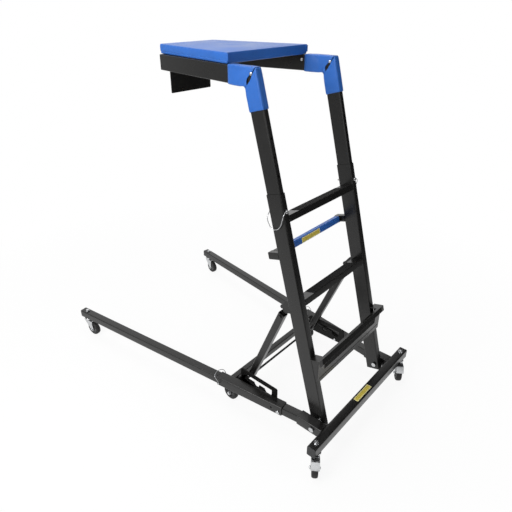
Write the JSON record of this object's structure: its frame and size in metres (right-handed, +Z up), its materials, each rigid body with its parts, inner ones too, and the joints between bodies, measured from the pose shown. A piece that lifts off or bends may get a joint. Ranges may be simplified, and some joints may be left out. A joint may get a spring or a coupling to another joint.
{
  "type": "topside creeper",
  "caption": "Rolling topside creeper: splayed caster base, leaning ladder with a telescoping upper section and a padded deck to lie on over an engine bay.",
  "frame": {"origin": "floor level, midway between the outermost points fore and aft, on the centre plane", "axes": "+X to the far side, +Y forward over the engine bay, +Z up"},
  "size_m": [0.9568, 1.5234, 1.478],
  "materials": {
    "black_paint": "satin black powder coat",
    "black_plastic": "moulded black plastic",
    "zinc_steel": "bright zinc plate",
    "wheel_rubber": "hard black rubber",
    "blue_vinyl": "royal blue vinyl cover",
    "board_wood": "plain plywood"
  },
  "bodies": {
    "base": {"rear_crossbar": "black_paint", "base_cross_tube": "black_paint", "near_crossbar_plug": "black_plastic", "near_rear_stub": "black_paint", "near_mid_rail": "black_paint", "near_notch_plate": "black_paint", "near_mid_wheel_bracket": "black_paint", "near_rear_caster_bolt": "zinc_steel", "near_leg_lock_pin": "zinc_steel", "near_foot_bolt": "zinc_steel", "far_crossbar_plug": "black_plastic", "far_rear_stub": "black_paint", "far_mid_rail": "black_paint", "far_notch_plate": "black_paint", "far_mid_wheel_bracket": "black_paint", "far_rear_caster_bolt": "zinc_steel", "far_leg_lock_pin": "zinc_steel", "far_foot_bolt": "zinc_steel"},
    "ladder": {"top_step": "black_paint", "middle_step": "black_paint", "bottom_step": "black_paint", "front_bar": "blue_vinyl", "near_lower_stile": "black_paint", "near_front_bar_stub": "black_paint", "near_brace_bracket": "black_paint", "near_ladder_lock_pin": "zinc_steel", "far_lower_stile": "black_paint", "far_front_bar_stub": "black_paint", "far_brace_bracket": "black_paint", "far_ladder_lock_pin": "zinc_steel"},
    "braces": {"near_brace": "black_paint", "far_brace": "black_paint", "release_rod": "black_paint"},
    "upper_section": {"deck_board": "board_wood", "deck_pad": "blue_vinyl", "drop_plate": "black_paint", "near_upper_frame": "black_paint", "near_corner_sleeve": "blue_vinyl", "far_upper_frame": "black_paint", "far_corner_sleeve": "blue_vinyl"},
    "near_leg": {"near_front_leg": "black_paint", "near_leg_caster_bolt": "zinc_steel"},
    "near_mid_wheel": {"near_mid_wheel": "wheel_rubber"},
    "near_leg_bail": {"near_leg_bail": "zinc_steel"},
    "near_ladder_bail": {"near_ladder_bail": "zinc_steel"},
    "near_rear_caster": {"near_rear_caster_fork": "zinc_steel"},
    "near_rear_wheel": {"near_rear_caster_wheel": "wheel_rubber"},
    "near_front_caster": {"near_front_caster_fork": "zinc_steel"},
    "near_front_wheel": {"near_front_caster_wheel": "wheel_rubber"},
    "near_rear_pedal": {"near_rear_brake_pedal": "zinc_steel"},
    "far_leg": {"far_front_leg": "black_paint", "far_leg_caster_bolt": "zinc_steel"},
    "far_mid_wheel": {"far_mid_wheel": "wheel_rubber"},
    "far_leg_bail": {"far_leg_bail": "zinc_steel"},
    "far_ladder_bail": {"far_ladder_bail": "zinc_steel"},
    "far_rear_caster": {"far_rear_caster_fork": "zinc_steel"},
    "far_rear_wheel": {"far_rear_caster_wheel": "wheel_rubber"},
    "far_front_caster": {"far_front_caster_fork": "zinc_steel"},
    "far_front_wheel": {"far_front_caster_wheel": "wheel_rubber"},
    "far_rear_pedal": {"far_rear_brake_pedal": "zinc_steel"}
  },
  "joints": [
    {"name": "ladder_lean", "type": "hinge", "parent": "base", "child": "ladder", "pos_m": [0, -0.64936, 0.12197], "axis": [1, 0, 0], "range_deg": [0, 5.75]},
    {"name": "brace_swing", "type": "hinge", "parent": "ladder", "child": "braces", "pos_m": [0, -0.43126, 0.53794], "axis": [1, 0, 0], "range_deg": [-15.5, 0]},
    {"name": "deck_height", "type": "slide", "parent": "ladder", "child": "upper_section", "axis": [0, 0.2689, 0.9632], "range_m": [-0.252, 0.126]},
    {"name": "near_leg_slide", "type": "slide", "parent": "base", "child": "near_leg", "axis": [-0.1392, 0.9903, 0], "range_m": [-0.11, 0]},
    {"name": "far_leg_slide", "type": "slide", "parent": "base", "child": "far_leg", "axis": [0.1392, 0.9903, 0], "range_m": [-0.11, 0]},
    {"name": "near_rear_swivel", "type": "hinge", "parent": "base", "child": "near_rear_caster", "pos_m": [-0.35, -0.71031, 0.088], "axis": [0, 0, 1], "continuous": true},
    {"name": "near_rear_wheel_spin", "type": "hinge", "parent": "near_rear_caster", "child": "near_rear_wheel", "pos_m": [-0.37457, -0.72752, 0.038], "axis": [0.5736, -0.8192, 0], "continuous": true},
    {"name": "near_rear_brake", "type": "hinge", "parent": "near_rear_caster", "child": "near_rear_pedal", "pos_m": [-0.37949, -0.73096, 0.0897], "axis": [0.5736, -0.8192, 0], "range_deg": [0, 4]},
    {"name": "near_front_swivel", "type": "hinge", "parent": "near_leg", "child": "near_front_caster", "pos_m": [-0.4548, 0.7254, 0.088], "axis": [0, 0, 1], "continuous": true},
    {"name": "near_front_wheel_spin", "type": "hinge", "parent": "near_front_caster", "child": "near_front_wheel", "pos_m": [-0.45063, 0.69569, 0.038], "axis": [0.9903, 0.1392, 0], "continuous": true},
    {"name": "far_rear_swivel", "type": "hinge", "parent": "base", "child": "far_rear_caster", "pos_m": [0.35, -0.71031, 0.088], "axis": [0, 0, 1], "continuous": true},
    {"name": "far_rear_wheel_spin", "type": "hinge", "parent": "far_rear_caster", "child": "far_rear_wheel", "pos_m": [0.32543, -0.72752, 0.038], "axis": [0.5736, -0.8192, 0], "continuous": true},
    {"name": "far_rear_brake", "type": "hinge", "parent": "far_rear_caster", "child": "far_rear_pedal", "pos_m": [0.32051, -0.73096, 0.0897], "axis": [0.5736, -0.8192, 0], "range_deg": [0, 4]},
    {"name": "far_front_swivel", "type": "hinge", "parent": "far_leg", "child": "far_front_caster", "pos_m": [0.4548, 0.7254, 0.088], "axis": [0, 0, 1], "continuous": true},
    {"name": "far_front_wheel_spin", "type": "hinge", "parent": "far_front_caster", "child": "far_front_wheel", "pos_m": [0.45063, 0.69569, 0.038], "axis": [0.9903, -0.1392, 0], "continuous": true},
    {"name": "near_mid_wheel_spin", "type": "hinge", "parent": "base", "child": "near_mid_wheel", "pos_m": [-0.297, -0.20631, 0.0395], "axis": [1, 0, 0], "continuous": true},
    {"name": "near_leg_bail_swing", "type": "hinge", "parent": "base", "child": "near_leg_bail", "pos_m": [-0.30101, -0.17849, 0.119], "axis": [-0.1392, 0.9903, 0], "range_deg": [0, 90]},
    {"name": "near_ladder_bail_swing", "type": "hinge", "parent": "ladder", "child": "near_ladder_bail", "pos_m": [-0.2264, -0.43639, 0.97959], "axis": [0, 0.2689, 0.9632], "range_deg": [0, 100]},
    {"name": "far_mid_wheel_spin", "type": "hinge", "parent": "base", "child": "far_mid_wheel", "pos_m": [0.297, -0.20631, 0.0395], "axis": [1, 0, 0], "continuous": true},
    {"name": "far_leg_bail_swing", "type": "hinge", "parent": "base", "child": "far_leg_bail", "pos_m": [0.30101, -0.17849, 0.119], "axis": [-0.1392, -0.9903, 0], "range_deg": [0, 90]},
    {"name": "far_ladder_bail_swing", "type": "hinge", "parent": "ladder", "child": "far_ladder_bail", "pos_m": [0.2264, -0.43639, 0.97959], "axis": [0, -0.2689, -0.9632], "range_deg": [0, 100]}
  ],
  "couplings": [
    {"joint": "brace_swing", "follows": "ladder_lean", "ratio": -2.68}
  ]
}
